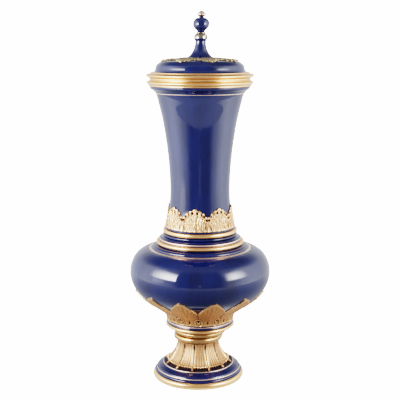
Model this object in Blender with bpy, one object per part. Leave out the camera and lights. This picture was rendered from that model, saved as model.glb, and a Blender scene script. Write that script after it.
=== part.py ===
"""Lidded vase: a porcelain vase with its lid, built together with its foot.

Three separate pieces: the lid with its finial, the vase itself (neck and bulb in one casting),
and the foot that it stands on. All three are hollow. Lengths are in millimetres, scaled to
metres when a mesh is made. The axis of the vase is the Z axis, the front faces -Y, and the
table is z = 0. An outline is a list of (radius, height) points, turned round the axis.
"""
import bpy
import bmesh
from math import atan2, cos, hypot, pi, radians, sin
from mathutils import Matrix, Vector

MM = 0.001

# Driving dimensions
HEIGHT = 500.0          # overall, to the tip of the finial
BULB_RADIUS = 96.3
BULB_LEVEL = 150.3      # where the bulb is widest
FOOT_RADIUS = 62.8
LID_RADIUS = 71.3
JOINT_LEVEL = 62.0      # where the vase stands on its foot
MOUTH_LEVEL = 411.0     # where the lid sits on the mouth
GAP = 0.3               # between pieces that touch
WALL = 4.6              # porcelain thickness of neck and bulb
FOOT_SHIFT = -2.4       # the foot's axis is set off along X, as it was assembled
FINIAL_LEAN = 0.035     # sideways run of the finial for each millimetre of rise
SIDES = 36              # facets round a turned form

# Leaf work
CALYX_LEAVES = 12
CALYX_TURN = 12.6       # degrees from the front to the first leaf tip
CALYX_RELIEF = 1.3
NECK_LEAVES = 8
NECK_TURN = 36.2
NECK_RELIEF = 1.4
LID_LOBES = 8
LID_TURN = 16.0
LID_RELIEF = 1.2
FLUTES = 12
FLUTE_TURN = 4.5
RIB_RELIEF = 2.0        # from the flutes up to the ribs between them
BEDDING = 2.0           # how deep a leaf band is sunk into the wall that carries it


# Outlines

def bead(radius, low, high, bulge, steps=4):
    """Half-round moulding from (radius, low) up to (radius, high), standing out by bulge."""
    middle = (low + high) / 2
    half = (high - low) / 2
    turns = [pi * step / steps for step in range(steps + 1)]
    return [(radius + bulge * sin(t), middle - half * cos(t)) for t in turns]


def path_between(points, low, high, steps):
    """The stretch of an outline between two heights, as evenly spaced heights."""
    out = []
    for step in range(steps + 1):
        level = low + (high - low) * step / steps
        for (ra, za), (rb, zb) in zip(points, points[1:]):
            if za <= level <= zb:
                out.append((ra + (rb - ra) * (level - za) / (zb - za), level))
                break
    return out


# The vase, from its seat on the foot up to the mouth
STEM = (
    [(30.6, JOINT_LEVEL + GAP / 2)]
    + bead(31.6, 62.8, 69.4, 2.8, 3)
    + [(44.4, 71.8)]
    + bead(45.3, 73.0, 77.8, 2.3, 2)
    + [(46.9, 81.2), (46.0, 83.0)]
)
BULB_UNDERSIDE = [
    (45.6, 85.0), (48.6, 91.2), (61.2, 103.0), (77.0, 114.6), (88.6, 126.2), (94.6, 138.4),
    (BULB_RADIUS, BULB_LEVEL),
]
BULB_SHOULDER = [(94.2, 162.0), (87.8, 172.8), (78.2, 179.4), (66.6, 184.6), (60.4, 189.2)]
COLLAR = (
    bead(58.0, 189.6, 194.8, 2.3, 2)
    + [(54.6, 197.2), (50.6, 202.0)]
    + bead(50.0, 202.6, 205.8, 1.3, 2)
    + bead(49.0, 206.4, 210.8, 1.7, 2)
)
NECK = [
    (46.2, 212.2), (44.5, 224.0), (41.3, 246.0), (40.45, 264.0), (42.1, 300.0), (45.7, 330.5),
    (50.7, 360.5), (57.2, 386.5),
]
MOUTH = [(59.2, 393.0), (63.4, 398.4), (67.6, 402.4), (70.5, 406.6), (66.0, MOUTH_LEVEL)]
CAVITY = [
    (0.0, 67.6), (25.0, 67.6), (41.2, 86.6), (60.0, 107.4), (83.8, 128.2), (BULB_RADIUS - WALL, BULB_LEVEL),
    (87.6, 164.8), (75.0, 175.6), (60.0, 182.6), (45.6, 203.0), (39.0, 230.0), (40.45 - WALL, 264.0),
    (41.1, 330.5), (46.1, 361.5), (53.2, 390.0), (58.6, MOUTH_LEVEL),
]

# The foot, from the table up to its top
BASE_MOULDING = [
    (60.8, 0.0), (FOOT_RADIUS, 4.4), (60.4, 8.4), (58.1, 11.2), (55.4, 14.8), (49.8, 18.4),
    (46.4, 20.2), (43.2, 22.4),
]
FLUTED_STEM = [(43.7, 23.4), (42.4, 24.4), (36.8, 30.4), (31.8, 39.6), (29.6, 47.4), (29.9, 52.4)]
FOOT_TORUS = bead(31.0, 53.0, JOINT_LEVEL - GAP / 2 - 0.2, 3.1, 3)
FOOT_HOLLOW = [
    (0.0, 55.0), (22.0, 55.0), (24.4, 47.0), (30.6, 32.0), (41.0, 19.6), (52.0, 10.0), (53.0, 0.0),
]

# The lid, from its seat up to the tip of the finial
LID_EDGE = [
    (66.2, MOUTH_LEVEL + GAP), (70.6, 414.9), (LID_RADIUS, 416.2), (66.8, 419.6), (59.6, 424.0),
    (58.3, 428.8), (54.2, 432.6),
]
LID_DOME = [(50.6, 433.9), (41.0, 435.6), (30.0, 437.2), (20.4, 438.5), (0.0, 439.4)]
LID_UNDERSIDE = [
    (0.0, 434.6), (20.0, 433.6), (42.0, 430.6), (52.0, 424.0), (51.4, 411.0), (50.8, 398.6),
    (54.6, 398.6), (55.4, MOUTH_LEVEL + GAP),
]
FINIAL = (
    [(0.0, 437.4), (19.4, 437.6), (15.2, 441.0), (9.9, 447.5), (7.3, 456.8), (7.2, 460.4)]
    + bead(7.0, 462.0, 468.4, 2.0, 2)
    + bead(5.4, 468.8, 471.6, 1.2, 2)
    + [(5.0, 472.6), (8.8, 477.0), (10.75, 483.0), (8.8, 488.0), (4.4, 491.0)]
    + [(5.8, 494.8), (2.9, 498.6), (0.0, HEIGHT)]
)


# Meshes

def turn(outline, sides=SIDES):
    """Spin a closed outline, whose ends lie on the axis or which is a ring, about the Z axis."""
    bm = bmesh.new()
    verts = [bm.verts.new((r * MM, 0.0, z * MM)) for r, z in outline]
    pairs = list(zip(verts, verts[1:]))
    if outline[0][0] > 0.0:
        pairs.append((verts[-1], verts[0]))
    edges = [bm.edges.new(pair) for pair in pairs]
    bmesh.ops.spin(
        bm, geom=verts + edges, cent=(0, 0, 0), axis=(0, 0, 1), angle=2 * pi, steps=sides, use_merge=True
    )
    bmesh.ops.remove_doubles(bm, verts=bm.verts, dist=0.00001)
    bmesh.ops.recalc_face_normals(bm, faces=bm.faces)
    return bm


def leaf_phase(angle, count, turn_degrees):
    """0 at a leaf's middle, 1 at the seam between two leaves; angle counts from the front."""
    pitch = 2 * pi / count
    swing = (angle - radians(turn_degrees)) / pitch
    return 2 * abs(swing - round(swing))


def leaf_band(path, count, turn_degrees, sides_each, tip, seam, relief, shape, side=1):
    """A ring of leaves laid along path: a turned strip whose far edge runs from tip to seam.

    path is the outline of the carrying wall from the leaves' base; tip and seam are how much
    of its length a leaf covers at its middle and between two leaves; shape gives the leaf's
    edge, 0 at the middle and 1 at the seam; side is 1 for a wall whose outside lies to the
    right of the path, and -1 for one whose outside lies to the left.
    """
    lengths = [0.0]
    for (ra, za), (rb, zb) in zip(path, path[1:]):
        lengths.append(lengths[-1] + hypot(rb - ra, zb - za))
    total = lengths[-1]

    def place(along, lift):
        along = min(max(along, 0.0), total * 0.9999)
        index = max(i for i, length in enumerate(lengths) if length <= along)
        (ra, za), (rb, zb) = path[index], path[index + 1]
        span = lengths[index + 1] - lengths[index]
        part = (along - lengths[index]) / span
        return (
            ra + (rb - ra) * part + side * lift * (zb - za) / span,
            za + (zb - za) * part - side * lift * (rb - ra) / span,
        )

    # a flat strip stood on end: its height is the place along the path, its radius the lift
    core = 100.0
    rows = (0.0, 0.15, 0.4, 0.7, 1.0)
    strip = [(core + relief, row) for row in rows]
    strip += [(core - BEDDING, row) for row in reversed(rows)]
    bm = turn(strip, count * sides_each)
    bmesh.ops.rotate(
        bm, verts=bm.verts, cent=(0, 0, 0), matrix=Matrix.Rotation(radians(turn_degrees), 3, "Z")
    )
    for vert in bm.verts:
        angle = atan2(vert.co.x, -vert.co.y)
        phase = leaf_phase(angle, count, turn_degrees)
        reach = total * (tip + (seam - tip) * shape(phase))
        row = vert.co.z / MM
        lift = hypot(vert.co.x, vert.co.y) / MM - core
        if lift > 0.0:
            lift *= 1.0 - 0.45 * phase ** 4
        radius, level = place(row * reach, lift)
        vert.co = Vector((radius * sin(angle), -radius * cos(angle), level)) * MM
    if bm.calc_volume(signed=True) < 0.0:
        bmesh.ops.reverse_faces(bm, faces=bm.faces)
    return bm


# Objects

def material(name, colour, roughness, metallic):
    mat = bpy.data.materials.new(name)
    mat.use_nodes = True
    shader = mat.node_tree.nodes["Principled BSDF"]
    shader.inputs["Base Color"].default_value = (*colour, 1.0)
    shader.inputs["Roughness"].default_value = roughness
    shader.inputs["Metallic"].default_value = metallic
    return mat


def add_object(name, bm, mat):
    mesh = bpy.data.meshes.new(name)
    bm.to_mesh(mesh)
    bm.free()
    mesh.materials.append(mat)
    mesh.shade_smooth()
    mesh.set_sharp_from_angle(angle=radians(35))
    obj = bpy.data.objects.new(name, mesh)
    bpy.context.scene.collection.objects.link(obj)
    return obj


def join_relief(obj, bm, mat, name):
    """Cast a leaf band in one piece with the wall that carries it."""
    band = add_object(name, bm, mat)
    band.hide_render = True
    band.display_type = "WIRE"
    union = obj.modifiers.new(name, "BOOLEAN")
    union.operation = "UNION"
    union.solver = "EXACT"
    union.object = band
    return band


def make_vase_body(glaze, gilt):
    outer = STEM + BULB_UNDERSIDE + BULB_SHOULDER + COLLAR + NECK + MOUTH
    outline = [(0.0, JOINT_LEVEL + GAP / 2)] + outer + list(reversed(CAVITY))
    body = add_object("vase_body", turn(outline), glaze)
    calyx = leaf_band(
        BULB_UNDERSIDE[:5], CALYX_LEAVES, CALYX_TURN, 4, 1.0, 0.66, CALYX_RELIEF,
        lambda phase: phase ** 0.85,
    )
    join_relief(body, calyx, gilt, "calyx_relief")
    neck_leaves = leaf_band(
        path_between(NECK, 212.6, 244.0, 3), NECK_LEAVES, NECK_TURN, 6, 1.0, 0.58, NECK_RELIEF,
        lambda phase: phase ** 1.6,
    )
    join_relief(body, neck_leaves, gilt, "neck_relief")
    return body


def make_foot(glaze):
    outline = FOOT_HOLLOW + BASE_MOULDING + FLUTED_STEM + FOOT_TORUS + [(0.0, JOINT_LEVEL - GAP / 2)]
    bm = turn(outline, FLUTES * 3)
    seam = FLUTE_TURN + 180.0 / FLUTES
    bmesh.ops.rotate(bm, verts=bm.verts, cent=(0, 0, 0), matrix=Matrix.Rotation(radians(seam), 3, "Z"))
    low = FLUTED_STEM[0][1]
    high = FLUTED_STEM[-1][1]
    for vert in bm.verts:
        level = vert.co.z / MM
        radius = hypot(vert.co.x, vert.co.y) / MM
        if radius > FLUTED_STEM[-2][0] - 0.2 and low - 0.1 < level < high:
            phase = leaf_phase(atan2(vert.co.x, -vert.co.y), FLUTES, FLUTE_TURN)
            lift = RIB_RELIEF * (phase - 0.7) * (0.3 + 0.7 * (high - level) / (high - low))
            vert.co.x *= 1.0 + lift / radius
            vert.co.y *= 1.0 + lift / radius
    bmesh.ops.translate(bm, verts=bm.verts, vec=(FOOT_SHIFT * MM, 0, 0))
    return add_object("foot", bm, glaze)


def make_lid(glaze, gilt):
    lid = add_object("lid", turn(LID_UNDERSIDE + LID_EDGE + LID_DOME), glaze)
    lobes = leaf_band(
        list(reversed(LID_DOME[:4])), LID_LOBES, LID_TURN, 4, 1.0, 0.7, LID_RELIEF,
        lambda phase: phase ** 1.3, side=-1,
    )
    join_relief(lid, lobes, gilt, "lid_relief")
    finial = turn(FINIAL, 20)
    for vert in finial.verts:
        vert.co.x += FINIAL_LEAN * max(vert.co.z - LID_DOME[0][1] * MM, 0.0)
    join_relief(lid, finial, glaze, "finial")
    return lid


def build():
    for obj in list(bpy.data.objects):
        bpy.data.objects.remove(obj, do_unlink=True)
    glaze = material("cobalt_glaze", (0.010, 0.016, 0.120), 0.08, 0.0)
    gilt = material("burnished_gilding", (0.72, 0.46, 0.20), 0.25, 1.0)
    make_vase_body(glaze, gilt)
    make_foot(glaze)
    make_lid(glaze, gilt)


build()
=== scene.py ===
import math
from bisect import bisect
import bpy
import bmesh
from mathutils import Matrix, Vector, noise
from mathutils.geometry import interpolate_bezier


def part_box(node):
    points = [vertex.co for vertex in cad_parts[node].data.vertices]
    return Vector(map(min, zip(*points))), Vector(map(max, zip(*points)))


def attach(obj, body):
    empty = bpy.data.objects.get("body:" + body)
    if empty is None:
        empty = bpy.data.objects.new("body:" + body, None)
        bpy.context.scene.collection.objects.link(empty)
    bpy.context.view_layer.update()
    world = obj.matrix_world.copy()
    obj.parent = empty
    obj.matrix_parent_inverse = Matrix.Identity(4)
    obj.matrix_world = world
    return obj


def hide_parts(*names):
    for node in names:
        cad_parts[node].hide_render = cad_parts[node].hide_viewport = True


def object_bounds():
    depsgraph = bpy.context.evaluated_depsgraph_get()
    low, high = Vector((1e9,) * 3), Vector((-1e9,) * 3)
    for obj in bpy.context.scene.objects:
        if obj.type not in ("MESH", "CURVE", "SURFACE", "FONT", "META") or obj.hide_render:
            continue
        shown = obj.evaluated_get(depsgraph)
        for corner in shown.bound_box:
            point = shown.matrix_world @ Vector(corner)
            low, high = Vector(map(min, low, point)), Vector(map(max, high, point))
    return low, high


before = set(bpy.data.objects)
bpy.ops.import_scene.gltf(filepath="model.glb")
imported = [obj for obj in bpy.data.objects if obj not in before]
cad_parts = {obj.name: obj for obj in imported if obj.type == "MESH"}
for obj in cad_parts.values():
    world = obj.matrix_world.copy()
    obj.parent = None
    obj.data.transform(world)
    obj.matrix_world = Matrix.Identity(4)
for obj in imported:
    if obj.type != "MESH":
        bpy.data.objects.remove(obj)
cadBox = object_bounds()
print("frame loaded:", ", ".join(sorted(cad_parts)))

# Outlines are (radius, height) in millimetres above the table, turned round the Z axis; the front faces -Y.
drawnHeight = 500.0
mm = (cadBox[1].z - cadBox[0].z) / drawnHeight
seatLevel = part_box("vase_body")[0].z / mm  # where the vase stands on its foot
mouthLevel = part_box("vase_body")[1].z / mm  # where the lid rests
rimLevel = mouthLevel + 0.3  # underside of the lid's rim, a hair above the mouth
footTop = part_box("foot")[1].z / mm
footAxis = (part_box("foot")[0].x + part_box("foot")[1].x) / 2 / mm  # the foot was set on a little to the left
finialLean = 0.035  # the knob leans to the right, mm for each mm of rise
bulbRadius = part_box("vase_body")[1].x / mm
rimRadius = (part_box("lid")[1].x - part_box("lid")[0].x) / 2 / mm


# ---- colours and nodes

def linearColour(hexCode):  # "#rrggbb" as sRGB, to the linear RGBA that shaders want
    parts = [int(hexCode[i:i + 2], 16) / 255 for i in (1, 3, 5)]
    return tuple(c / 12.92 if c <= 0.04045 else ((c + 0.055) / 1.055) ** 2.4 for c in parts) + (1.0,)


def addNode(tree, kind, settings=None, links=None):  # settings name a property or an input, links an input
    node = tree.nodes.new(kind)
    for name, value in (settings or {}).items():
        if isinstance(name, str) and hasattr(node, name):
            setattr(node, name, value)
        else:
            node.inputs[name].default_value = value
    for name, source in (links or {}).items():
        tree.links.new(source, node.inputs[name])
    return node


def newMaterial(name, settings):
    material = bpy.data.materials.new(name)
    material.use_nodes = True
    tree = material.node_tree
    tree.nodes.clear()
    shader = addNode(tree, "ShaderNodeBsdfPrincipled", settings)
    addNode(tree, "ShaderNodeOutputMaterial", {}, {"Surface": shader.outputs["BSDF"]})
    place = addNode(tree, "ShaderNodeTexCoord").outputs["Object"]
    return material, tree, shader, place


def blendColours(tree, factor, first, second):
    mix = addNode(tree, "ShaderNodeMix", {"data_type": "RGBA", 6: first, 7: second}, {0: factor})
    return mix.outputs[2]


def makeCobaltGlaze():
    # Cobalt blue painted on hard porcelain under a clear feldspar glaze: deep, wet gloss over a colour
    # that clouds a little from brushing, with the faint ripple that fired glaze always has.
    look = {"deep": "#0c163c", "thin": "#13214f", "cloud": 0.02, "ripple": 0.011}
    material, tree, shader, place = newMaterial("cobaltGlaze", {"Roughness": 0.045, "IOR": 1.62})
    run = (1.0, 1.0, 0.35)  # clouds and ripples are drawn out downwards, as glaze runs
    tall = addNode(tree, "ShaderNodeMapping", {"Scale": run}, {"Vector": place})
    cloud = addNode(tree, "ShaderNodeTexNoise",
                    {"Scale": 1 / look["cloud"], "Detail": 4.0, "Roughness": 0.6},
                    {"Vector": tall.outputs[0]})
    density = addNode(tree, "ShaderNodeMapRange", {1: 0.3, 2: 0.7}, {0: cloud.outputs[0]})
    deep, thin = linearColour(look["deep"]), linearColour(look["thin"])
    colour = blendColours(tree, density.outputs[0], deep, thin)
    tree.links.new(colour, shader.inputs["Base Color"])
    ripple = addNode(tree, "ShaderNodeTexNoise",
                     {"Scale": 1 / look["ripple"], "Detail": 2.0, "Roughness": 0.4},
                     {"Vector": tall.outputs[0]})
    bump = addNode(tree, "ShaderNodeBump", {"Strength": 0.17, "Distance": 0.001},
                   {"Height": ripple.outputs[0]})
    tree.links.new(bump.outputs[0], shader.inputs["Normal"])
    return material


def makeRecessShadeGlaze():
    # Painted shade in the recess under the flutes: the cobalt glaze there is painted nearly black and a
    # little matt.
    material, tree, shader, place = newMaterial("recessShadeGlaze", {"Roughness": 0.5, "IOR": 1.5})
    cloud = addNode(tree, "ShaderNodeTexNoise", {"Scale": 140.0, "Detail": 3.0}, {"Vector": place})
    colour = blendColours(tree, cloud.outputs[0], linearColour("#070815"), linearColour("#10132a"))
    tree.links.new(colour, shader.inputs["Base Color"])
    return material


def makeWhiteGlaze():
    # The same clear glaze over bare porcelain, inside the vase and under the lid.
    material, tree, shader, place = newMaterial("whiteGlaze", {"Roughness": 0.08, "IOR": 1.5})
    cloud = addNode(tree, "ShaderNodeTexNoise", {"Scale": 45.0, "Detail": 3.0}, {"Vector": place})
    colour = blendColours(tree, cloud.outputs[0], linearColour("#dcdcd6"), linearColour("#eeede8"))
    tree.links.new(colour, shader.inputs["Base Color"])
    return material


def makeBurnishedGold(name, bright, worn):
    # Gilding polished with an agate stone: bright and warm, with fine streaks round the moulding.
    streakSize = 0.0006  # metres, up the moulding
    smoothest, dullest = 0.22, 0.35
    material, tree, shader, place = newMaterial(name, {"Metallic": 1.0})
    streakPlace = addNode(tree, "ShaderNodeMapping", {"Scale": (25.0, 25.0, 1 / streakSize)},
                          {"Vector": place})
    streak = addNode(tree, "ShaderNodeTexNoise", {"Scale": 1.0, "Detail": 3.0},
                     {"Vector": streakPlace.outputs[0]})
    patch = addNode(tree, "ShaderNodeTexNoise", {"Scale": 110.0, "Detail": 4.0}, {"Vector": place})
    colour = blendColours(tree, patch.outputs[0], linearColour(bright), linearColour(worn))
    tree.links.new(colour, shader.inputs["Base Color"])
    rough = addNode(tree, "ShaderNodeMapRange", {1: 0.3, 2: 0.7, 3: smoothest, 4: dullest},
                    {0: streak.outputs[0]})
    tree.links.new(rough.outputs[0], shader.inputs["Roughness"])
    bump = addNode(tree, "ShaderNodeBump", {"Strength": 0.25, "Distance": 0.00005},
                   {"Height": streak.outputs[0]})
    tree.links.new(bump.outputs[0], shader.inputs["Normal"])
    return material


def makeCollarGold():
    # Gilding on the collar of the knob, greyer and darker than the rest.
    material, tree, shader, place = newMaterial("collarGold", {"Metallic": 1.0, "Roughness": 0.2})
    wear = addNode(tree, "ShaderNodeTexNoise", {"Scale": 260.0, "Detail": 4.0}, {"Vector": place})
    share = addNode(tree, "ShaderNodeMapRange", {1: 0.4, 2: 0.62}, {0: wear.outputs[0]})
    colour = blendColours(tree, share.outputs[0], linearColour("#aaa08e"), linearColour("#66625f"))
    tree.links.new(colour, shader.inputs["Base Color"])
    return material


def makePaleGold():
    # Thin painted lines of gold, paler and cooler than the mouldings: the pale tone is a painted highlight
    # for the sheen such thin lines catch.
    material, tree, shader, place = newMaterial("paleGold", {"Metallic": 1.0, "Roughness": 0.32})
    wear = addNode(tree, "ShaderNodeTexNoise", {"Scale": 180.0, "Detail": 3.0}, {"Vector": place})
    colour = blendColours(tree, wear.outputs[0], linearColour("#ead4c4"), linearColour("#c7b0a2"))
    tree.links.new(colour, shader.inputs["Base Color"])
    return material


def makeLeafGold(name, hollow, field, crest):
    # Best gold on moulded leaf work: matt in the hollows and burnished where the stone reached, with painted
    # shade making the hollows dark brown.
    grainSize = 0.0009
    material, tree, shader, place = newMaterial(name, {"Metallic": 1.0})
    burnishAndShade = addNode(tree, "ShaderNodeAttribute", {"attribute_name": "burnishAndShade"}).outputs["Fac"]
    grain = addNode(tree, "ShaderNodeTexNoise", {"Scale": 1 / grainSize, "Detail": 4.0}, {"Vector": place})
    # the first colour, for the hollows, is painted shade
    tones = addNode(tree, "ShaderNodeValToRGB", {}, {0: burnishAndShade})
    middle = tones.color_ramp.elements.new(0.4)
    tones.color_ramp.elements[0].color = linearColour(hollow)
    middle.color = linearColour(field)
    tones.color_ramp.elements[-1].color = linearColour(crest)
    tree.links.new(tones.outputs[0], shader.inputs["Base Color"])
    rough = addNode(tree, "ShaderNodeMapRange", {3: 0.75, 4: 0.22}, {0: burnishAndShade})
    tree.links.new(rough.outputs[0], shader.inputs["Roughness"])
    bump = addNode(tree, "ShaderNodeBump", {"Strength": 0.3, "Distance": 0.0002},
                   {"Height": grain.outputs[0]})
    tree.links.new(bump.outputs[0], shader.inputs["Normal"])
    return material


cobaltGlaze = makeCobaltGlaze()
# nearly black glaze of painted shade for the recess under the flutes
recessShadeGlaze = makeRecessShadeGlaze()
whiteGlaze = makeWhiteGlaze()
burnishedGold = makeBurnishedGold("burnishedGold", "#eac191", "#d7a97a")
stemGold = makeBurnishedGold("stemGold", "#cda97f", "#b08a62")  # duller round the joint
collarGold = makeCollarGold()
paleGold = makePaleGold()
# the first colour of each is painted shade for the hollows
leafGold = makeLeafGold("leafGold", "#503520", "#be9673", "#e4bf98")
mattGold = makeLeafGold("mattGold", "#452b15", "#cb9d72", "#e9c69c")  # for the calyx, the mattest
greyLeafGold = makeLeafGold("greyLeafGold", "#3f3322", "#b2a183", "#dac8a6")  # for the lid, the greyest
print("materials ready")


# ---- outlines and turning

def bead(radius, low, high, bulge, steps=12):  # half-round moulding
    middle, half = (low + high) / 2, (high - low) / 2
    turns = [math.pi * step / steps for step in range(steps + 1)]
    return [(radius + bulge * math.sin(t), middle - half * math.cos(t)) for t in turns]


def flowing(knots, steps=8):  # one smooth line through the knots
    points = [Vector((r, z, 0.0)) for r, z in knots]
    lengths = [(b - a).length for a, b in zip(points, points[1:])]
    slopes = [(b - a) / long for a, b, long in zip(points, points[1:], lengths)]
    runs = [slopes[0]]
    for before, after, first, second in zip(slopes, slopes[1:], lengths, lengths[1:]):
        runs.append((before * second + after * first).normalized())
    runs.append(slopes[-1])
    line = [points[0]]
    for i, long in enumerate(lengths):
        reach = long / 3
        leaving = points[i] + runs[i] * reach
        arriving = points[i + 1] - runs[i + 1] * reach
        line += interpolate_bezier(points[i], leaving, arriving, points[i + 1], steps + 1)[1:]
    return [(p.x, p.y) for p in line]


def stretch(outline, low, high):  # the part of a rising outline between two heights
    part = [(r, z) for r, z in outline if low < z < high]
    ends = []
    for level in (low, high):
        for (ra, za), (rb, zb) in zip(outline, outline[1:]):
            if za <= level <= zb and zb > za:
                ends.append((ra + (rb - ra) * (level - za) / (zb - za), level))
                break
    return ends[:1] + part + ends[1:]


def standOff(outline, distance):  # the same line moved outwards along its normals
    moved = []
    for i, (r, z) in enumerate(outline):
        ra, za = outline[max(i - 1, 0)]
        rb, zb = outline[min(i + 1, len(outline) - 1)]
        long = math.hypot(rb - ra, zb - za)
        moved.append((r + distance * (zb - za) / long, z - distance * (rb - ra) / long))
    return moved


def finishMesh(bm, name, materials, axis=0.0, lean=0.0, creases=35):
    bmesh.ops.recalc_face_normals(bm, faces=bm.faces)
    if lean:
        for vert in bm.verts:
            vert.co.x += lean * max(0.0, vert.co.z - leanFrom * mm)
    bmesh.ops.translate(bm, verts=bm.verts, vec=(axis * mm, 0, 0))
    mesh = bpy.data.meshes.new(name)
    bm.to_mesh(mesh)
    bm.free()
    for material in materials:
        mesh.materials.append(material)
    mesh.shade_smooth()
    mesh.set_sharp_from_angle(angle=math.radians(creases))
    piece = bpy.data.objects.new(name, mesh)
    bpy.context.scene.collection.objects.link(piece)
    return piece


def spinOutline(outline, sides, closed):
    bm = bmesh.new()
    verts = [bm.verts.new((r * mm, 0.0, z * mm)) for r, z in outline]
    edges = [bm.edges.new(pair) for pair in zip(verts, verts[1:])]
    if closed:
        edges.append(bm.edges.new((verts[-1], verts[0])))
    bmesh.ops.spin(bm, geom=verts + edges, cent=(0, 0, 0), axis=(0, 0, 1), angle=math.tau, steps=sides,
                   use_merge=True)
    bmesh.ops.remove_doubles(bm, verts=bm.verts, dist=0.001 * mm)
    return bm


def declare(piece, node):
    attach(piece, "root")
    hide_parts(node)


def turnedBody(name, node, outside, inside, sides=120, axis=0.0, lean=0.0):
    # outside runs up from the low end, inside comes back down; both glazes meet at the lip
    bm = spinOutline(outside + inside, sides, closed=outside[0][0] > 0)
    bmesh.ops.recalc_face_normals(bm, faces=bm.faces)
    innerCorners = {(round(r, 2), round(z, 2)) for r, z in inside}
    for face in bm.faces:
        corners = [(round(v.co.to_2d().length / mm, 2), round(v.co.z / mm, 2)) for v in face.verts]
        face.material_index = int(all(corner in innerCorners for corner in corners))
    piece = finishMesh(bm, name, [cobaltGlaze, whiteGlaze], axis, lean)
    declare(piece, node)
    return piece


def gildBand(name, node, outline, low, high, crown, gold, sides=120, axis=0.0, lean=0.0, slot="gilding"):
    # a ring of gold laid over the glaze: proud on top, its underside sunk in the wall
    line = stretch(outline, low, high)
    face = []
    for (r, z), (ro, zo) in zip(line, standOff(line, 1.0)):
        share = (z - low) / (high - low)
        proud = goldLeaf["proud"] + crown * math.sin(math.pi * min(max(share, 0), 1))
        face.append((r + (ro - r) * proud, z + (zo - z) * proud))
    back = standOff(line, -goldLeaf["sunk"])
    bm = spinOutline(face + back[::-1], sides, closed=True)
    piece = finishMesh(bm, name, [gold], axis, lean)
    declare(piece, node)
    return piece


goldLeaf = {"proud": 0.12, "sunk": 0.4}
leanFrom = 437.0  # height where the knob starts, and its lean


# ---- the vase: stem, ring, bulb, collar, neck and mouth

stem = (
    [(0.0, seatLevel), (30.6, seatLevel)]
    + bead(32.6, 62.6, 69.4, 3.4)
    + flowing([(33.6, 70.0), (38.4, 70.8), (43.0, 72.2)], 4)
)
ring = (
    bead(45.0, 73.0, 77.9, 2.6)
    + flowing([(46.2, 78.2), (47.0, 79.5), (46.4, 81.0)], 4)
    + bead(45.9, 81.1, 82.3, 0.5, 6)
    + [(45.2, 82.7), (45.1, 83.3)]
)
bulb = flowing([
    (45.0, 84.0), (45.7, 87.5), (47.3, 91.4), (52.6, 96.6), (61.2, 103.0), (69.2, 108.6), (77.0, 114.6),
    (84.6, 121.6), (89.6, 128.0), (94.2, 137.6), (bulbRadius, 150.3), (94.7, 161.0), (91.6, 168.5),
    (88.2, 173.5), (82.2, 178.4), (74.0, 182.0), (68.8, 183.3), (67.4, 184.0),
])
shoulder = (
    [(66.6, 184.3), (66.0, 184.35), (65.4, 184.5)]
    + flowing([(65.4, 185.0), (65.0, 186.4), (63.4, 187.7), (61.2, 188.4)], 4)
    + [(59.4, 188.8), (57.6, 189.2)]
)
collar = (
    bead(57.5, 189.7, 195.1, 2.4)
    + [(55.8, 195.4)]
    + bead(55.5, 196.0, 198.0, 0.7, 6)
    + flowing([(54.8, 198.4), (53.0, 198.8), (51.6, 199.6), (50.7, 200.4)], 4)
    + [(48.9, 200.8)]
    + bead(49.5, 201.1, 204.4, 1.3)
    + [(48.2, 204.8)]
    + bead(48.9, 205.2, 210.8, 1.8)
    + [(46.9, 211.3), (46.3, 212.4)]
)
neck = flowing([
    (46.4, 213.2), (45.2, 220.0), (43.4, 230.0), (41.5, 244.0), (40.5, 261.0), (40.8, 277.0), (42.2, 300.0),
    (45.7, 330.5), (50.7, 360.5), (55.4, 380.0), (58.3, 391.0), (59.2, 393.2),
])
mouth = (
    flowing([(59.5, 393.3), (61.6, 395.6), (63.4, 397.4)], 4)
    + flowing([(63.7, 397.5), (65.6, 398.8), (66.8, 400.4), (67.1, 401.5)], 4)
    + [(66.9, 402.1)]
    + flowing([(67.4, 402.3), (68.3, 402.8), (68.7, 403.7), (68.6, 404.4)], 3)
    + flowing([(69.0, 404.8), (70.2, 406.0), (70.9, 407.4), (70.3, 408.7), (68.7, 409.6), (67.4, 410.0),
               (67.1, 410.4), (67.0, mouthLevel)], 4)
)
vaseOutline = stem + ring + bulb + shoulder + collar + neck + mouth
vaseInside = flowing([
    (58.6, mouthLevel), (53.2, 390.0), (46.1, 361.5), (41.1, 330.5), (37.6, 300.0), (35.9, 264.0),
    (39.0, 230.0), (45.6, 203.0),
], 4) + flowing([
    (48.0, 198.0), (60.0, 182.6), (75.0, 175.6), (87.6, 164.8), (91.7, 150.3), (83.8, 128.2), (60.0, 107.4),
    (41.2, 86.6), (25.0, 67.8), (0.0, 67.6),
], 4)

vaseGlaze = turnedBody("vaseGlaze", "vase_body", vaseOutline, vaseInside, sides=144)

vaseBands = {  # name: (low, high, crown, gold)
    "stemGilding": (seatLevel + 0.2, 71.2, 0.0, stemGold),
    "ringGilding": (71.2, 77.9, 0.0, burnishedGold),
    "ringLine": (81.0, 82.4, 0.0, paleGold),
    "shoulderLine": (183.0, 184.32, 0.35, paleGold),
    "lowerBeadGilding": (189.6, 195.3, 0.0, burnishedGold),
    "collarLine": (195.9, 198.1, 0.0, paleGold),
    "upperBeadGilding": (205.0, 211.1, 0.0, burnishedGold),
    "mouthLine": (392.8, 393.9, 0.25, paleGold),
    "mouthGilding": (403.0, mouthLevel - 0.05, 0.0, burnishedGold),
}
for name, (low, high, crown, gold) in vaseBands.items():
    gildBand(name, "vase_body", vaseOutline, low, high, crown, gold, sides=144)
print("vase turned, with", len(vaseBands), "gilt bands")

# ---- moulded and gilt relief, wrapped round a turned outline

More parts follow.
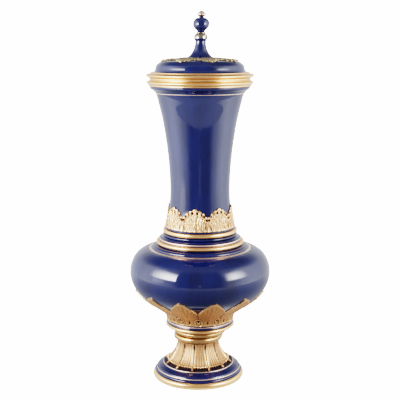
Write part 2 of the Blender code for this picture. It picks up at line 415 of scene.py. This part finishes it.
def walker(outline, facing):  # gives the place and the outward direction at a distance along the outline
    marks = [0.0]
    for (ra, za), (rb, zb) in zip(outline, outline[1:]):
        marks.append(marks[-1] + math.hypot(rb - ra, zb - za))

    def at(distance):
        i = min(max(bisect(marks, distance) - 1, 0), len(outline) - 2)
        share = (distance - marks[i]) / (marks[i + 1] - marks[i])
        (ra, za), (rb, zb) = outline[i], outline[i + 1]
        long = math.hypot(rb - ra, zb - za)
        out = facing / long
        return ra + (rb - ra) * share, za + (zb - za) * share, (zb - za) * out, (ra - rb) * out
    return at


def smooth(low, high, value):
    share = min(max((value - low) / (high - low), 0.0), 1.0)
    return share * share * (3 - 2 * share)


def hump(value, middle, width):
    return math.exp(-((value - middle) / width) ** 2)


def reliefRing(name, node, outline, size, ends, shape, gold, axis=0.0):
    # A grid is bent round the outline, raised by shape() and closed by extruding it into the wall.
    # ends(across) gives where a leaf starts and stops along the outline, across being -1 to 1 over a leaf;
    # shape(across, along, start, stop) gives its height in mm and how burnished it is; where that is low
    # it also paints shade.
    count, turn = size["count"], size["turn"]
    at = walker(outline, 1 if outline[-1][1] > outline[0][1] else -1)
    bm = bmesh.new()
    bmesh.ops.create_grid(bm, x_segments=count * size["columns"], y_segments=size["rows"], size=1.0)
    angle = bm.verts.layers.float.new("angle")
    depth = bm.verts.layers.float.new("depth")
    burnishAndShade = bm.verts.layers.float.new("burnishAndShade")
    for vert in bm.verts:
        leaves = (vert.co.x + 1) / 2 * count
        across = 2 * (leaves - math.floor(leaves + 1e-6)) - 1
        if across > 1 - 1e-6:
            across = -1.0
        start, stop = ends(across)
        along = start + (stop - start) * (vert.co.y + 1) / 2
        turned = math.radians(turn) + (leaves - 0.5) * math.tau / count
        height, polishAndShade = shape(across, along, start, stop)
        spot = Vector((math.sin(turned) * 60, math.cos(turned) * 60, along))  # about where it is, in mm
        height += size["unevenness"] * noise.noise(spot * 0.3)
        vert[angle], vert[depth], vert[burnishAndShade] = turned, along, polishAndShade
        r, z, ro, zo = at(along)
        r, z = r + height * ro, z + height * zo
        vert.co = Vector((r * math.sin(turned), -r * math.cos(turned), z)) * mm
    bmesh.ops.remove_doubles(bm, verts=bm.verts, dist=0.0001 * mm)
    walls = bmesh.ops.extrude_face_region(bm, geom=bm.faces[:], use_keep_orig=True)
    for vert in walls["geom"]:
        if isinstance(vert, bmesh.types.BMVert):
            r, z, ro, zo = at(vert[depth])
            r, z = r - size["bedding"] * ro, z - size["bedding"] * zo
            vert.co = Vector((r * math.sin(vert[angle]), -r * math.cos(vert[angle]), z)) * mm
            # the sides of the relief get painted shade
            vert[burnishAndShade] = 0.2
    piece = finishMesh(bm, name, [gold], axis, creases=60)
    declare(piece, node)
    return piece


def lobedStop(leaf, x):  # how far up a lobed leaf reaches, x mm from its middle
    top = leaf["valley"]
    for middle, height, radius in leaf["lobes"]:
        away = abs(abs(x) - middle)
        if away < radius:
            top = max(top, height - radius + math.sqrt(radius ** 2 - away ** 2))
    return top


def lobedShape(leaf, x, y):
    # Each lobe is a long leaflet with its own rib, crowned and turned forward at the tip. They overlap like
    # scales from the middle outwards, and a drilled eye sits under each notch.
    side = abs(x + leaf["wander"] * noise.noise(Vector((x * 0.3, y * 0.2, 0.0))))
    calm = 0.45 + 0.55 * smooth(3.0, 13.0, y)
    aside = abs(leaf["half"] - side) / (leaf["between"] * (0.55 + 0.45 * smooth(0.0, leaf["valley"], y)))
    height = 0.45 + 0.6 * smooth(1.0, 0.8, aside) + 0.4 * hump(aside, 0.0, 0.3)
    polishAndShade = 0.25 * smooth(1.1, 0.8, aside) + 0.5 * hump(aside, 0.0, 0.3)
    for layer, (middle, high, radius) in enumerate(leaf["lobes"]):
        climb = min(y / high, 1.0)
        spine = middle * (leaf["gather"] + (1 - leaf["gather"]) * climb ** 2)
        spine += leaf["flare"] * (middle / leaf["half"]) * hump(y, 0.0, 5.0)
        width = radius * (0.7 + 0.3 * climb)
        if y > high - radius:
            width = min(width, math.sqrt(max(radius ** 2 - (y - high + radius) ** 2, 0.0)))
        off = abs(side - spine) / (width + 0.05)
        if off > 1.0:
            continue
        curl = hump(high - y, leaf["curlWidth"], leaf["curlWidth"] * 0.9) * (1 - 0.6 * off ** 2)
        rib = hump(off, 0.0, 0.24) * smooth(high, high - 3.0, y) * calm
        strand = math.cos(math.tau * 1.6 * off) * smooth(high, high - 4.0, y)
        raised = leaf["thickness"] - leaf["step"] * layer + leaf["crown"] * (1 - off ** 4)
        raised += leaf["rib"] * rib + leaf["vein"] * strand + leaf["curl"] * curl
        if raised > height:
            height = raised
            # painted shade towards a leaflet's edge, low down
            polishAndShade = 0.36 + 0.45 * rib + 0.16 * strand + 0.6 * curl - 0.55 * calm * smooth(0.55, 0.95, off)
    for (a, ha, ra), (b, hb, rb) in zip(leaf["lobes"], leaf["lobes"][1:]):
        notch = a + (b - a) * ra / (ra + rb)
        drop = lobedStop(leaf, notch) - leaf["eyeDrop"] - y
        away = math.hypot((side - notch) / leaf["eyeWidth"], drop / (1.7 * leaf["eyeWidth"]))
        eye, eyeRim = math.exp(-away ** 2), hump(away, 1.9, 0.55)
        height += leaf["eyeRim"] * eyeRim - leaf["eyeDepth"] * eye
        # the eyes are painted dark as shade in the pits
        polishAndShade += 0.5 * eyeRim - 1.4 * eye
    lip = hump(y, 1.0, 1.0)
    return max(height, 0.3) + 0.5 * lip, min(max(polishAndShade + 0.5 * lip, 0.0), 1.0)


neckLeaf = {
    "count": 8, "turn": -9.0, "columns": 66, "rows": 54, "half": 17.7,
    "lobes": [(0.0, 30.8, 4.2), (6.2, 28.6, 3.4), (10.8, 25.2, 3.1), (14.6, 20.4, 2.8), (17.7, 15.8, 2.4)],
    "valley": 13.0, "gather": 0.6, "flare": 2.0, "thickness": 0.85, "crown": 0.5, "rib": 0.5, "step": 0.16,
    "vein": 0.2, "wander": 1.7, "curl": 0.55, "curlWidth": 1.6, "eyeDrop": 4.4, "eyeWidth": 0.85,
    "eyeDepth": 1.7, "eyeRim": 0.5, "between": 4.6, "bedding": 1.6, "unevenness": 0.22,
}
neckFrom = 213.3  # foot of the neck leaves


def neckEnds(across):
    return 0.0, lobedStop(neckLeaf, across * neckLeaf["half"])


def neckShape(across, along, start, stop):
    height, polishAndShade = lobedShape(neckLeaf, across * neckLeaf["half"], along)
    seam = hump(abs(across), 1.0, 0.025) * smooth(6.0, 9.0, along)
    # painted shade in the seam between leaves
    return height * (1 - 0.6 * seam), polishAndShade * (1 - seam)


neckBed = stretch(neck, neckFrom, 260.0)
reliefRing("neckLeaves", "vase_body", neckBed, neckLeaf, neckEnds, neckShape, leafGold)
print("neck leaves wrapped")

calyx = {
    "count": 12, "turn": 12.6, "columns": 48, "rows": 64, "tip": 64.5, "valley": 36.5,
    "thickness": 1.3, "rim": 0.45, "rimWidth": 0.75, "vein": 0.12, "bedding": 1.6, "unevenness": 0.16,
    "eyeletAt": 8.6,
}
calyxFrom = 84.0


def calyxEnds(across):
    side = abs(across)
    reach = 1 - side ** 1.7
    wave = 0.55 * math.sin(math.tau * 1.6 * side + 0.6) * math.sin(math.pi * side)
    return 0.0, calyx["valley"] + (calyx["tip"] - calyx["valley"]) * reach + wave


def calyxShape(across, along, start, stop):
    side = abs(across)
    spread = 12.6 + 0.2 * along  # half the width of a leaf at this distance, mm
    x = side * spread
    gap = spread - x
    edge = (stop - along) * 0.6
    upper = smooth(15.0, 22.0, along)
    height = calyx["thickness"] + calyx["rim"] * hump(edge, 0.8, calyx["rimWidth"])
    polishAndShade = 0.36 + 0.56 * smooth(1.6, 0.9, edge)
    fan = math.atan2(x, along - 8.0)
    ray = math.cos(fan * 46) * smooth(2.0, 6.0, edge) * smooth(12, 20, along)
    height += calyx["vein"] * ray
    polishAndShade += 0.07 * ray
    height += 0.3 * hump(x, 0.0, 1.4) * smooth(64, 40, along) * upper
    seam = hump(gap, 0.0, 0.5) * smooth(15.0, 19.0, along) * smooth(stop, stop - 1.0, along)
    height -= 1.1 * seam
    arch = math.hypot(gap / 5.2, (along - 6.5) / 8.0)
    inner = math.hypot(gap / 2.3, (along - calyx["eyeletAt"]) / 3.1)
    height += 0.55 * hump(arch, 1.0, 0.13) + 0.45 * hump(inner, 1.0, 0.2)
    height -= 0.4 * hump(arch, 0.72, 0.12) + 0.3 * hump(arch, 1.26, 0.1)
    polishAndShade += 0.6 * hump(arch, 1.0, 0.14) + 0.7 * hump(inner, 1.0, 0.2)
    # painted shade in the grooves beside the arches
    polishAndShade -= 0.45 * hump(arch, 0.74, 0.12) + 0.3 * hump(arch, 1.28, 0.1)
    hole = math.exp(-(gap / 1.5) ** 2 - ((along - calyx["eyeletAt"]) / 2.0) ** 2)
    slit = math.exp(-(x / 0.6) ** 2) * smooth(2.0, 3.2, along) * smooth(9.0, 6.5, along)
    height -= 2.0 * hole + 1.3 * slit
    # painted shade in the eyelet, the slit and the seams
    polishAndShade -= 2.0 * hole + 1.4 * slit + 0.6 * seam
    lip = hump(along, 0.7, 0.8)
    return height + 0.2 * lip, min(max(polishAndShade + 0.5 * lip, 0.0), 1.0)


calyxBed = stretch(bulb, calyxFrom + 0.05, 140.0)
reliefRing("calyxLeaves", "vase_body", calyxBed, calyx, calyxEnds, calyxShape, mattGold)
print("calyx wrapped")


# ---- the lid with its knob

lidRim = (
    flowing([(66.9, rimLevel), (67.1, 412.2), (67.3, 413.2), (68.6, 414.0), (70.8, 414.9),
             (rimRadius + 0.4, 416.2), (71.0, 417.6), (69.2, 418.5), (67.0, 419.0)], 5)
    + flowing([(65.8, 419.5), (65.4, 420.4), (64.5, 421.1), (62.8, 421.3)], 4)
    + [(61.6, 421.4)]
    + flowing([(61.2, 421.6), (60.6, 422.4), (60.0, 423.5)], 4)
)
lidDome = (
    flowing([(59.5, 424.2), (59.2, 426.2), (58.6, 428.4), (57.3, 430.6), (55.2, 432.4)], 5)
    + flowing([(54.4, 433.2), (52.2, 434.4), (42.0, 436.3), (30.6, 437.7), (21.0, 438.4)], 4)
)
knob = (
    flowing([(19.4, 438.9), (15.4, 441.4), (11.7, 445.2), (9.3, 449.4), (7.9, 454.0), (7.2, 458.0),
             (7.3, 461.2)])
    + flowing([(7.6, 461.6), (8.6, 463.2), (8.95, 465.6), (8.6, 468.0), (7.4, 469.8)], 5)
    + [(5.9, 470.1)]
    + bead(5.6, 470.3, 472.3, 0.8, 8)
    + flowing([(4.7, 472.6), (5.4, 473.8), (7.4, 475.8), (9.3, 477.8), (10.5, 480.2), (10.95, 483.2),
               (10.5, 486.0), (9.0, 488.6), (6.7, 490.4), (4.0, 491.3), (3.0, 491.7)], 4)
    + flowing([(3.0, 492.0), (4.3, 492.9), (5.7, 494.2), (6.1, 495.3), (5.6, 496.3), (4.4, 497.5),
               (3.3, 498.7), (2.2, 499.6), (0.0, drawnHeight)], 4)
)
lidOutline = lidRim + lidDome + knob
lidInside = [(0.0, 434.6), (20.0, 433.6), (42.0, 430.6), (52.0, 424.0), (51.4, 411.0), (50.8, 398.6),
             (54.6, 398.6), (55.4, rimLevel)]
lidGlaze = turnedBody("lidGlaze", "lid", lidOutline, lidInside, lean=finialLean)
lidBands = {
    "lidRimGilding": (rimLevel + 0.05, 420.8, 0.0, burnishedGold),
    "knobCollarGilding": (464.2, 472.4, 0.0, collarGold),
    "knobBudGilding": (492.2, 499.8, 0.0, paleGold),
}
for name, (low, high, crown, gold) in lidBands.items():
    gildBand(name, "lid", lidOutline, low, high, crown, gold, lean=finialLean)

rosetteLeaf = {
    "count": 8, "turn": 16.0, "columns": 56, "rows": 44, "half": 17.4,
    "lobes": [(0.0, 32.4, 4.2), (5.2, 29.4, 2.9), (9.0, 24.4, 2.6), (12.6, 19.0, 2.5), (16.0, 15.6, 2.4)],
    "valley": 13.6, "gather": 0.75, "flare": 0.0, "thickness": 0.8, "crown": 0.4, "rib": 0.35, "step": 0.1,
    "vein": 0.1, "wander": 0.6, "curl": 0.8, "curlWidth": 1.5, "eyeDrop": 4.0, "eyeWidth": 0.8,
    "eyeDepth": 0.9, "eyeRim": 0.3, "between": 4.0, "bedding": 1.2, "unevenness": 0.14,
}


def rosetteEnds(across):
    return 0.0, lobedStop(rosetteLeaf, across * rosetteLeaf["half"])


def rosetteShape(across, along, start, stop):
    height, polishAndShade = lobedShape(rosetteLeaf, across * rosetteLeaf["half"], along)
    seam = hump(abs(across), 1.0, 0.035) * smooth(2.0, 4.0, along)
    # painted shade in the seam between leaves
    return height * (1 - 0.8 * seam), polishAndShade * (1 - seam)


shoulderPoints = 12  # points of the dome's outline on its steep shoulder, where no leaf reaches
rosetteBed = lidDome[:shoulderPoints - 1:-1]  # from the knob outwards
reliefRing("lidRosette", "lid", rosetteBed, rosetteLeaf, rosetteEnds, rosetteShape, greyLeafGold)
print("lid turned, with its rosette")


# ---- the foot

footOutline = (
    flowing([(61.9, 0.0), (62.8, 1.6), (63.0, 4.2), (62.2, 6.6), (60.3, 8.3)], 4)
    + flowing([(59.9, 8.4), (58.6, 9.2), (57.9, 10.5), (57.8, 11.4)], 3)
    + bead(57.5, 11.7, 13.3, 0.6, 6)
    + flowing([(57.2, 13.4), (56.4, 14.7), (54.9, 15.9), (52.6, 16.9), (50.5, 17.7), (49.3, 18.2)], 4)
    + bead(48.4, 18.6, 20.2, 0.8, 6)
    + [(47.8, 20.3), (47.3, 20.35)]
    + flowing([(47.0, 20.4), (45.0, 20.6), (42.6, 20.9), (40.8, 21.8), (38.9, 24.6)], 4)
    + flowing([(38.4, 25.4), (34.4, 30.6), (29.7, 39.6), (27.6, 47.4), (27.4, 53.0)], 4)
    + bead(31.0, 53.6, footTop - 0.2, 3.1)
    + [(30.4, footTop), (0.0, footTop)]
)
footInside = [(0.0, 55.0), (22.0, 55.0), (24.4, 47.0), (29.6, 32.0), (40.6, 18.6), (51.0, 9.0), (53.0, 0.0)]
footGlaze = turnedBody("footGlaze", "foot", footOutline, footInside, axis=footAxis)
footBands = {
    "baseGilding": (0.05, 8.3, 0.0, burnishedGold),
    "footLine": (11.75, 13.25, 0.0, paleGold),
    "recessLine": (18.65, 20.2, 0.0, paleGold),
    "footBeadGilding": (53.6, footTop - 0.15, 0.0, stemGold),
}
for name, (low, high, crown, gold) in footBands.items():
    gildBand(name, "foot", footOutline, low, high, crown, gold, axis=footAxis)
recess = (20.33, 24.4)  # lower and upper end of the band of painted shade under the flutes
# the band under the flutes is glazed nearly black as painted shade
gildBand("recessShadeBand", "foot", footOutline, *recess, 0.0, recessShadeGlaze, axis=footAxis, slot="cobalt_glaze")

flutes = {
    "count": 12, "turn": 4.5, "columns": 60, "rows": 44, "lowHalf": 12.3, "topHalf": 7.4, "taper": 1.6,
    "ribLow": 0.9, "ribTop": 0.78, "rib": 0.9, "ribWidth": 0.5, "field": 0.8, "hollow": 0.35, "groove": 0.3,
    "hem": 6.8, "hemReach": 0.86, "lobes": 5, "lobeDepth": 1.5, "curl": 0.9, "streak": 0.22,
    "slitAt": 34.0, "slitDepth": 0.8, "bedding": 2.8, "unevenness": 0.12,
}
fluteBed = flowing([
    (46.9, 20.5), (44.4, 21.4), (42.0, 23.0), (39.6, 25.0), (35.0, 30.6), (30.2, 39.6), (28.0, 47.4),
    (28.1, 52.2),
], 4)


def fluteEnds(across):
    side = abs(across)
    turned = (across / flutes["hemReach"] + 1) / 2 * flutes["lobes"]
    lobe = 2 * (turned - math.floor(turned)) - 1
    hem = flutes["hem"] - flutes["lobeDepth"] * math.sqrt(max(1 - lobe ** 2, 0.0))
    return hem + (0.15 - hem) * smooth(flutes["hemReach"], 0.93, side), fluteLength


def fluteShape(across, along, start, stop):
    side = abs(across)
    climb = min(along / fluteLength, 1.0)
    half = flutes["topHalf"] + (flutes["lowHalf"] - flutes["topHalf"]) * (1 - climb) ** flutes["taper"]
    rib = flutes["ribLow"] + (flutes["ribTop"] - flutes["ribLow"]) * smooth(0.0, 1.0, climb)
    x, ribAt = side * half, rib * half
    ridge = hump(x, ribAt, flutes["ribWidth"])
    inside = smooth(ribAt + 0.3, ribAt - 0.6, x)
    height = flutes["field"] - flutes["hollow"] * (1 - (x / ribAt) ** 2) * inside
    height -= flutes["groove"] * (1 - inside) * smooth(2.0, 7.0, along)
    height += flutes["rib"] * ridge * smooth(0.3, 2.0, along - start)
    turned = (across / rib + 1) / 2 * flutes["lobes"]
    swell = math.cos(math.tau * (turned - 0.5))
    height += flutes["streak"] * (0.35 + 1.2 * smooth(22.0, 5.0, along)) * swell * inside
    curl = hump(along - start, 1.0, 0.95) * (0.35 + 0.65 * (0.5 + 0.5 * swell)) * inside
    slit = math.exp(-((side - 1) * half / 0.7) ** 2) * smooth(3.5, 1.5, abs(along - flutes["slitAt"]))
    height += flutes["curl"] * curl - flutes["slitDepth"] * slit
    polishAndShade = 0.3 + 0.1 * climb + 0.14 * swell * inside + 0.6 * ridge + 0.65 * curl
    # painted shade in the grooves between ribs and in the slits
    polishAndShade -= 0.2 * (1 - inside) * (1 - ridge) * smooth(4.0, 8.0, along) + 0.8 * slit
    return max(height, 0.2), min(max(polishAndShade, 0.0), 1.0)


fluteLength = sum(math.dist(a, b) for a, b in zip(fluteBed, fluteBed[1:]))
reliefRing("fluting", "foot", fluteBed, flutes, fluteEnds, fluteShape, leafGold, axis=footAxis)
print("foot turned and fluted")


# ---- floor, light and camera

stage = {
    "backdrop": 9.0, "floorSize": 8.0, "ceiling": 0.52, "ceilingBehind": -0.4, "ceilingLean": 0.2,
    "wallsEnd": 0.45, "ceilingStarts": 0.88,
}
tableGlow = [  # metres from the foot, and how bright the lit table is there in front and at the sides
    (0.06, 1.3, 1.3), (0.075, 0.85, 1.2), (0.09, 0.35, 0.9), (0.13, 0.35, 0.75), (0.25, 0.48, 0.75),
    (0.42, 0.6, 1.05), (0.56, 0.9, 1.3), (0.72, 1.0, 1.4), (0.78, 0.95, 1.3),
]
wallGlow = [  # degrees round from the camera's side, either way, and how bright the white tent is there
    (0, 0.45), (20, 0.4), (32, 0.42), (40, 0.8), (47, 1.3), (58, 1.7), (72, 2.4), (87, 2.7), (99, 2.4),
    (117, 1.7), (140, 1.25), (180, 0.9),
]
# Softboxes: azimuth and width in degrees, lower and upper edge in metres, radiance, then how much of the
# panel fades towards its left, right, lower and upper edge.
panels = {
    "leftWindow": (-63.0, 52.0, 0.25, 0.8, 20.0, 0.85, 0.03, 0.12, 0.76),
    "leftWall": (-66.0, 30.0, 0.1, 0.33, 1.0, 0.3, 0.3, 0.1, 0.2),
    "rightWindow": (60.5, 47.0, 0.24, 0.8, 12.0, 0.36, 0.65, 0.16, 0.74),
    "frontGap": (0.0, 5.0, 0.05, 0.17, 0.5, 0.2, 0.2, 0.2, 0.2),
}
panelDistance = 0.75
cameraView = {"lens": 76.5, "distance": 1.1367, "height": 0.459, "tilt": 10.5}


def layPaper(name, bm, glow):
    mesh = bpy.data.meshes.new(name)
    bm.to_mesh(mesh)
    bm.free()
    material = bpy.data.materials.new(name + "Paper")
    material.use_nodes = True
    tree = material.node_tree
    tree.nodes.clear()
    lit = addNode(tree, "ShaderNodeAttribute", {"attribute_name": "glow"})
    strength = addNode(tree, "ShaderNodeMath", {"operation": "MULTIPLY", 1: glow}, {0: lit.outputs["Fac"]})
    paper = addNode(tree, "ShaderNodeEmission", {"Color": (1, 1, 1, 1)}, {"Strength": strength.outputs[0]})
    addNode(tree, "ShaderNodeOutputMaterial", {}, {"Surface": paper.outputs[0]})
    mesh.materials.append(material)
    sheet = bpy.data.objects.new(name, mesh)
    bpy.context.scene.collection.objects.link(sheet)
    return sheet


def makeFloor():
    bm = bmesh.new()
    bmesh.ops.create_grid(bm, x_segments=1, y_segments=1, size=stage["floorSize"] / 2)
    glow = bm.verts.layers.float.new("glow")
    for vert in bm.verts:
        vert[glow] = 1.0
    floor = layPaper("floor", bm, stage["backdrop"])  # white for the camera only: it takes no shadow
    floor.visible_glossy = False
    floor.visible_diffuse = False
    bm = bmesh.new()  # the lit table as glaze and gold mirror it; the camera sees the white floor instead
    verts = [bm.verts.new((0.0, 0.0, 0.0))] + [bm.verts.new((mark[0], 0.0, 0.0)) for mark in tableGlow]
    edges = [bm.edges.new(pair) for pair in zip(verts, verts[1:])]
    bmesh.ops.spin(bm, geom=verts + edges, cent=(0, 0, 0), axis=(0, 0, 1), angle=math.tau, steps=72,
                   use_merge=True)
    bmesh.ops.remove_doubles(bm, verts=bm.verts, dist=0.00001)
    glow = bm.verts.layers.float.new("glow")
    for vert in bm.verts:
        reach, front, side = min(tableGlow, key=lambda mark: abs(mark[0] - vert.co.length))
        vert[glow] = front + (side - front) * (vert.co.x / reach) ** 2
    bmesh.ops.translate(bm, verts=bm.verts, vec=(footAxis * mm, 0, -0.0002))
    table = layPaper("table", bm, 1.0)
    table.visible_camera = False


def makeWorld():
    world = bpy.data.worlds.new("studio")
    bpy.context.scene.world = world
    world.use_nodes = True
    tree = world.node_tree
    tree.nodes.clear()
    direction = addNode(tree, "ShaderNodeTexCoord").outputs["Generated"]
    parts = addNode(tree, "ShaderNodeSeparateXYZ", {}, {0: direction})
    ahead = addNode(tree, "ShaderNodeMath", {"operation": "MULTIPLY", 1: -1.0}, {0: parts.outputs["Y"]})
    turned = addNode(tree, "ShaderNodeMath", {"operation": "ARCTAN2"},
                     {0: parts.outputs["X"], 1: ahead.outputs[0]})
    azimuth = addNode(tree, "ShaderNodeMath", {"operation": "ABSOLUTE"}, {0: turned.outputs[0]})
    share = addNode(tree, "ShaderNodeMath", {"operation": "DIVIDE", 1: math.pi}, {0: azimuth.outputs[0]})
    ramp = addNode(tree, "ShaderNodeValToRGB", {}, {0: share.outputs[0]})
    brightest = max(glow for degrees, glow in wallGlow)
    marks = ramp.color_ramp.elements
    for degrees, glow in wallGlow[1:-1]:
        marks.new(degrees / 180)
    for mark, (degrees, glow) in zip(marks, wallGlow):
        mark.position = degrees / 180
        mark.color = (glow / brightest,) * 3 + (1,)
    walls = addNode(tree, "ShaderNodeMath", {"operation": "MULTIPLY", 1: brightest}, {0: ramp.outputs[0]})
    ceiling = addNode(tree, "ShaderNodeMath",
                      {"operation": "MULTIPLY_ADD", 1: stage["ceilingBehind"], 2: stage["ceiling"]},
                      {0: parts.outputs["Y"]})
    rise = addNode(tree, "ShaderNodeMath", {"operation": "MULTIPLY_ADD", 1: stage["ceilingLean"]},
                   {0: parts.outputs["Y"], 2: parts.outputs["Z"]})
    up = addNode(tree, "ShaderNodeMapRange",
                 {"interpolation_type": "SMOOTHSTEP", 1: stage["wallsEnd"], 2: stage["ceilingStarts"]},
                 {0: rise.outputs[0], 3: walls.outputs[0], 4: ceiling.outputs[0]})
    seen = addNode(tree, "ShaderNodeLightPath")
    strength = addNode(tree, "ShaderNodeMix", {"data_type": "FLOAT", 3: stage["backdrop"]},
                       {0: seen.outputs["Is Camera Ray"], 2: up.outputs[0]})
    light = addNode(tree, "ShaderNodeBackground", {"Color": (1, 1, 1, 1)}, {"Strength": strength.outputs[0]})
    addNode(tree, "ShaderNodeOutputWorld", {}, {"Surface": light.outputs[0]})


def makeLights():
    for name, (azimuth, width, low, high, radiance, *fades) in panels.items():
        light = bpy.data.lights.new(name, "AREA")
        light.shape = "RECTANGLE"
        light.size = 2 * panelDistance * math.tan(math.radians(width / 2))
        light.size_y = high - low
        light.energy = radiance * light.size * light.size_y * math.pi
        light.use_nodes = True
        tree = light.node_tree
        tree.nodes.clear()
        onPanel = addNode(tree, "ShaderNodeNewGeometry").outputs["Parametric"]
        across = addNode(tree, "ShaderNodeSeparateXYZ", {}, {0: onPanel})
        strength = None
        for axis, edge, fade in zip("XXYY", (0, 1, 0, 1), fades):
            share = addNode(tree, "ShaderNodeMapRange",
                            {"interpolation_type": "SMOOTHSTEP", 1: edge, 2: abs(edge - fade)},
                            {0: across.outputs[axis]}).outputs[0]
            if strength:
                share = addNode(tree, "ShaderNodeMath", {"operation": "MULTIPLY"},
                                {0: share, 1: strength}).outputs[0]
            strength = share
        glow = addNode(tree, "ShaderNodeEmission", {"Color": (1, 1, 1, 1)}, {"Strength": strength})
        addNode(tree, "ShaderNodeOutputLight", {}, {"Surface": glow.outputs[0]})
        panel = bpy.data.objects.new(name, light)
        bpy.context.scene.collection.objects.link(panel)
        turned = math.radians(azimuth)
        panel.location = (panelDistance * math.sin(turned), -panelDistance * math.cos(turned), (low + high) / 2)
        panel.rotation_euler = (math.pi / 2, 0.0, turned)
        panel.visible_camera = False


def makeCamera():
    camera = bpy.data.objects.new("camera", bpy.data.cameras.new("camera"))
    bpy.context.scene.collection.objects.link(camera)
    camera.data.lens = cameraView["lens"]
    camera.data.sensor_width = 36.0
    camera.location = (0.0, -cameraView["distance"], cameraView["height"])
    camera.rotation_euler = (math.radians(90 - cameraView["tilt"]), 0.0, 0.0)
    bpy.context.scene.camera = camera


makeFloor()
makeWorld()
makeLights()
makeCamera()
bpy.context.scene.view_settings.view_transform = "Filmic"
bpy.context.scene.view_settings.look = "Very High Contrast"
print("stage, lights and camera set")
